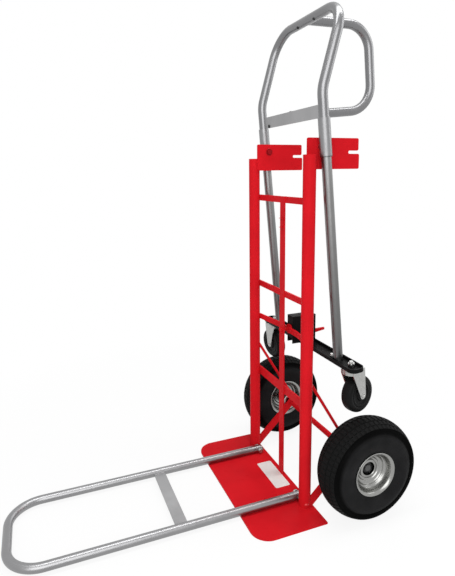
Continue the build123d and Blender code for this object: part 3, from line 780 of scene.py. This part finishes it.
def add_welds():
    """Beads where the frame's pieces meet, and at the ends of the extension's strap."""
    beads, strap_beads = [], []
    latch_low, latch_high = (corner[2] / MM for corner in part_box("latch_crossbar"))
    rail_x, rail_y = RAIL
    toe = TOE_TOP / MM
    for sign in SIDES.values():
        foot = (sign * rail_x, rail_y, toe + RAIL_WELD_LIFT)
        ring = circle(foot, (0, 0, 1), RAIL_RADIUS + RAIL_WELD_LIFT)
        beads.append(bead(ring, closed=True))
        seam = rail_x - chord(BAR_FRONT - rail_y)
        for level, height in BARS:
            low, high = level - height / 2, level + height / 2
            beads.append(bead(line((sign * seam, BAR_FRONT, low), (sign * seam, BAR_FRONT, high))))
            edge = sign * STRAP_HALF
            beads.append(bead(line((edge, BAR_FRONT, low), (edge, BAR_FRONT, high)), STRAP_WELD))
        latch_end = line((sign * seam, BAR_FRONT, latch_low), (sign * seam, BAR_FRONT, latch_high))
        beads.append(bead(latch_end))
        first, last = EXTENSION_STRAP_EDGES
        end = sign * EXTENSION_STRAP_END
        strap_end = line((end, first, EXTENSION_STRAP_TOP), (end, last, EXTENSION_STRAP_TOP))
        strap_beads.append(bead(strap_end, EXTENSION_WELD))
        reach = rail_y + chord(rail_x - BRACKET_FACE)
        face = sign * BRACKET_FACE
        top = RAIL_TOP - BRACKET_WELD_END
        beads.append(bead(line((face, reach, BRACKET_LOW), (face, reach, top))))
        reach = rail_y + chord(STRUT_FACE - rail_x)
        face = sign * STRUT_FACE
        beads.append(bead(line((face, reach, toe), (face, reach, STRUT_TOP))))
        inner = sign * (STRUT_FACE - STRUT_SHEET)
        ring = circle((inner, AXLE_Y / MM, AXLE_Z / MM), (1, 0, 0), AXLE_WELD_RING)
        beads.append(bead(ring, AXLE_WELD, closed=True))
    beads.append(bead(line((-STRAP_HALF, STRAP_FRONT, toe), (STRAP_HALF, STRAP_FRONT, toe))))
    add_mesh("frame_welds", *merged(beads), red_paint, "frame", "red_paint", sharp=WELD_SHARP)
    add_mesh("extension_welds", *merged(strap_beads), strap_metal, "toe_extension", "silver_tube",
             sharp=WELD_SHARP)


def add_label():
    """A blank label on the toe plate."""
    half_x, half_y = LABEL_SIZE[0] / 2, LABEL_SIZE[1] / 2
    radius = LABEL_CORNER
    outline = []
    for sx, sy, first in ((1, 1, 0), (-1, 1, 90), (-1, -1, 180), (1, -1, 270)):
        for step in range(LABEL_CORNER_STEPS + 1):
            angle = math.radians(first + 90.0 * step / LABEL_CORNER_STEPS)
            outline.append((LABEL_CENTRE[0] + sx * (half_x - radius) + radius * math.cos(angle),
                            LABEL_CENTRE[1] + sy * (half_y - radius) + radius * math.sin(angle)))
    low, high = TOE_TOP, TOE_TOP + LABEL_THICKNESS
    count = len(outline)
    points = [(x, y, low) for x, y in outline] + [(x, y, high) for x, y in outline]
    faces = [tuple(range(count)), tuple(range(count, 2 * count))]
    for index in range(count):
        after = (index + 1) % count
        faces.append((index, after, count + after, count + index))
    add_mesh("toe_label", points, faces, label_film, "frame", "red_paint")


def add_camera():
    """The photograph's view."""
    yaw, pitch, roll = (math.radians(a) for a in (CAMERA_YAW, CAMERA_PITCH, CAMERA_ROLL))
    flat = math.cos(pitch)
    ahead = Vector((-math.sin(yaw) * flat, math.cos(yaw) * flat, -math.sin(pitch)))
    level = Vector((math.cos(yaw), math.sin(yaw), 0.0))
    above = level.cross(ahead)
    right = level * math.cos(roll) + above * math.sin(roll)
    up = above * math.cos(roll) - level * math.sin(roll)
    data = bpy.data.cameras.new("camera")
    data.sensor_fit = "HORIZONTAL"
    data.sensor_width = SENSOR_WIDTH
    data.lens = FOCAL_PIXELS * SENSOR_WIDTH / IMAGE_WIDTH
    data.shift_x = (IMAGE_WIDTH / 2 - CENTRE_PIXEL[0]) / IMAGE_WIDTH
    data.shift_y = (CENTRE_PIXEL[1] - IMAGE_HEIGHT / 2) / IMAGE_WIDTH
    data.clip_end = VIEW_END
    camera = bpy.data.objects.new("camera", data)
    facing = Matrix((right, up, -ahead)).transposed().to_4x4()
    camera.matrix_world = Matrix.Translation(CAMERA_PLACE) @ facing
    bpy.context.scene.collection.objects.link(camera)
    bpy.context.scene.camera = camera


def seen_ray(tree):
    """1 for rays that show the backdrop: straight from the camera, or by reflection."""
    path = node(tree, "ShaderNodeLightPath")
    seen = path.outputs["Is Camera Ray"]
    for kind in ("Is Glossy Ray", "Is Transmission Ray"):
        seen = math_node(tree, "MAXIMUM", seen, path.outputs[kind])
    return seen


def add_world():
    """Soft light from all round, and a white backdrop where it is seen."""
    world = bpy.data.worlds.new("studio")
    world.use_nodes = True
    tree = world.node_tree
    soft = tree.nodes["Background"]
    soft.inputs["Color"].default_value = WHITE
    soft.inputs["Strength"].default_value = SOFT_LIGHT
    white = node(tree, "ShaderNodeBackground", Strength=1.0)
    white.inputs["Color"].default_value = WHITE
    mix = node(tree, "ShaderNodeMixShader")
    tree.links.new(seen_ray(tree), mix.inputs[0])
    tree.links.new(soft.outputs[0], mix.inputs[1])
    tree.links.new(white.outputs[0], mix.inputs[2])
    tree.links.new(mix.outputs[0], tree.nodes["World Output"].inputs["Surface"])
    bpy.context.scene.world = world


def add_floor():
    """Pale floor that keeps a faint shadow near the object and fades to white further out."""
    half = FLOOR_HALF
    mesh = bpy.data.meshes.new("floor")
    corners = [(-half, -half, 0.0), (half, -half, 0.0), (half, half, 0.0), (-half, half, 0.0)]
    mesh.from_pydata(corners, [], [(0, 1, 2, 3)])
    floor = bpy.data.objects.new("floor", mesh)
    bpy.context.scene.collection.objects.link(floor)
    material = bpy.data.materials.new("floor")
    material.use_nodes = True
    tree = material.node_tree
    bsdf = tree.nodes["Principled BSDF"]
    bsdf.inputs["Base Color"].default_value = FLOOR_COLOR
    bsdf.inputs["Roughness"].default_value = FLOOR_ROUGHNESS
    bsdf.inputs["Specular IOR Level"].default_value = 0.0
    glow = node(tree, "ShaderNodeEmission", Strength=1.0)
    glow.inputs["Color"].default_value = WHITE
    distance = node(tree, "ShaderNodeVectorMath", operation="LENGTH")
    tree.links.new(object_coords(tree), distance.inputs[0])
    fade = mapped(tree, distance.outputs["Value"], FLOOR_GLOW, 1.0, *FLOOR_FADE)
    share = math_node(tree, "MULTIPLY", fade, seen_ray(tree))
    mix = node(tree, "ShaderNodeMixShader")
    tree.links.new(share, mix.inputs[0])
    tree.links.new(bsdf.outputs[0], mix.inputs[1])
    tree.links.new(glow.outputs[0], mix.inputs[2])
    tree.links.new(mix.outputs[0], tree.nodes["Material Output"].inputs["Surface"])
    mesh.materials.append(material)


def add_area(name, place, target, size, power):
    """A soft box that lights the object and isn't seen itself."""
    data = bpy.data.lights.new(name, "AREA")
    data.shape = "RECTANGLE"
    data.size, data.size_y = size
    data.energy = power
    lamp = bpy.data.objects.new(name, data)
    lamp.location = place
    lamp.rotation_euler = (Vector(target) - Vector(place)).to_track_quat("-Z", "Y").to_euler()
    lamp.visible_camera = False
    bpy.context.scene.collection.objects.link(lamp)


add_camera()
add_world()
add_floor()
for lamp_values in LAMPS:
    add_area(*lamp_values)
dress_nodes()
for side_name, side_sign in SIDES.items():
    add_tyre(side_name, side_sign)
    add_wheel_metal(side_name, side_sign)
    add_caster_wheel(side_name)
add_fasteners()
add_welds()
add_label()

bpy.context.scene.view_settings.view_transform = "Standard"
